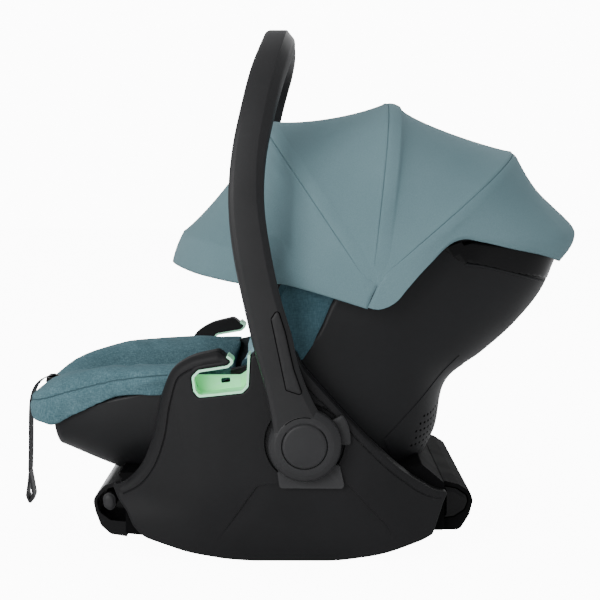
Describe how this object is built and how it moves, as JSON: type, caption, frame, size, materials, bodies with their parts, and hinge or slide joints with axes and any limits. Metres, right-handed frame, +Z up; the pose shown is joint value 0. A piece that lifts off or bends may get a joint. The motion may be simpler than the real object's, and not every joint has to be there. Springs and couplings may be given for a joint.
{
  "type": "infant car seat",
  "caption": "Rear-facing infant carrier seat on a rocker base, with a swinging carry handle, folding canopy, padded seat, sliding headrest and mint lap-belt guides.",
  "frame": {"origin": "middle of the bounding box on the floor", "axes": "+X from the feet to the head of the seat, +Y across the width to the occupant's right, +Z up"},
  "size_m": [0.6703, 0.449, 0.596],
  "materials": {
    "shell_black": "satin",
    "handle_black": "satin",
    "gloss_black": "gloss",
    "bracket_grey": "satin",
    "steel": "satin",
    "mint": "satin",
    "bow_plastic": "satin",
    "canopy_fabric": "matte",
    "seat_fabric": "matte",
    "insert_fabric": "matte",
    "foam": "matte",
    "webbing": "matte",
    "pad_fabric": "matte",
    "button_red": "gloss"
  },
  "bodies": {
    "shell": {"adjuster_plate": "gloss_black", "adjuster_strap": "webbing", "back_cushion": "seat_fabric", "base_screws": "steel", "base_tub": "shell_black", "belt_guide_left": "mint", "belt_guide_right": "mint", "buckle_body": "gloss_black", "buckle_tongue_left": "steel", "buckle_tongue_right": "steel", "canopy_pin_left": "steel", "canopy_pin_right": "steel", "canopy_rear_panel": "canopy_fabric", "crotch_pad": "pad_fabric", "crotch_strap": "webbing", "crown_trim": "gloss_black", "foam_liner": "foam", "front_dock_bar": "steel", "front_dock_housing": "shell_black", "hub_bracket_left": "bracket_grey", "hub_bracket_right": "bracket_grey", "leg_cushion": "seat_fabric", "newborn_insert": "insert_fabric", "pivot_pin_left": "steel", "pivot_pin_right": "steel", "pull_loop": "gloss_black", "rear_bow": "bow_plastic", "rear_dock_bar": "steel", "rear_dock_housing": "shell_black", "seat_shell": "shell_black", "shoulder_pad_left": "pad_fabric", "shoulder_pad_right": "pad_fabric", "shoulder_strap_left": "webbing", "shoulder_strap_right": "webbing", "side_panel_left": "shell_black", "side_panel_right": "shell_black", "vent_panel": "shell_black"},
    "handle": {"handle_arm_left": "handle_black", "handle_arm_right": "handle_black", "handle_grip": "handle_black", "arm_cover_left": "handle_black", "arm_cover_right": "handle_black"},
    "button_left": {"release_button_left": "handle_black", "lock_gear_left": "bracket_grey", "button_spring_left": "steel"},
    "button_right": {"release_button_right": "handle_black", "lock_gear_right": "bracket_grey", "button_spring_right": "steel"},
    "canopy_middle": {"middle_bow": "bow_plastic", "canopy_middle_panel": "canopy_fabric"},
    "canopy_front": {"front_bow": "bow_plastic", "canopy_front_panel": "canopy_fabric"},
    "canopy_visor_frame": {"visor_bow": "bow_plastic", "canopy_visor": "canopy_fabric"},
    "headrest": {"headrest_shell": "shell_black", "headrest_pad": "seat_fabric"},
    "buckle_key": {"buckle_button": "button_red"},
    "adjuster_key": {"adjuster_button": "bracket_grey"}
  },
  "joints": [
    {"name": "handle_swing", "type": "hinge", "parent": "shell", "child": "handle", "pos_m": [0.005, 0, 0.137], "axis": [0, 1, 0], "range_deg": [0, 105]},
    {"name": "release_press_left", "type": "slide", "parent": "handle", "child": "button_left", "axis": [0, 1, 0], "range_m": [0, 0.005], "stiffness_N_per_m": 800, "springref_m": -0.002, "deforming": ["button_spring_left"]},
    {"name": "release_press_right", "type": "slide", "parent": "handle", "child": "button_right", "axis": [0, -1, 0], "range_m": [0, 0.005], "stiffness_N_per_m": 800, "springref_m": -0.002, "deforming": ["button_spring_right"]},
    {"name": "middle_bow_swing", "type": "hinge", "parent": "shell", "child": "canopy_middle", "pos_m": [0.084, 0, 0.308], "axis": [0, 1, 0], "range_deg": [0, 34], "deforming": ["canopy_middle_panel"]},
    {"name": "front_bow_swing", "type": "hinge", "parent": "canopy_middle", "child": "canopy_front", "pos_m": [0.084, 0, 0.308], "axis": [0, 1, 0], "range_deg": [0, 33], "deforming": ["canopy_front_panel"]},
    {"name": "visor_swing", "type": "hinge", "parent": "canopy_front", "child": "canopy_visor_frame", "pos_m": [0.084, 0, 0.308], "axis": [0, 1, 0], "range_deg": [0, 35], "deforming": ["canopy_visor"]},
    {"name": "headrest_slide", "type": "slide", "parent": "shell", "child": "headrest", "axis": [0.5736, 0, 0.8192], "range_m": [0, 0.055]},
    {"name": "buckle_press", "type": "slide", "parent": "shell", "child": "buckle_key", "axis": [0.4067, 0, -0.9135], "range_m": [0, 0.004], "stiffness_N_per_m": 900, "springref_m": -0.002},
    {"name": "adjuster_press", "type": "slide", "parent": "shell", "child": "adjuster_key", "axis": [-0.2079, 0, -0.9781], "range_m": [0, 0.003], "stiffness_N_per_m": 900, "springref_m": -0.002}
  ]
}
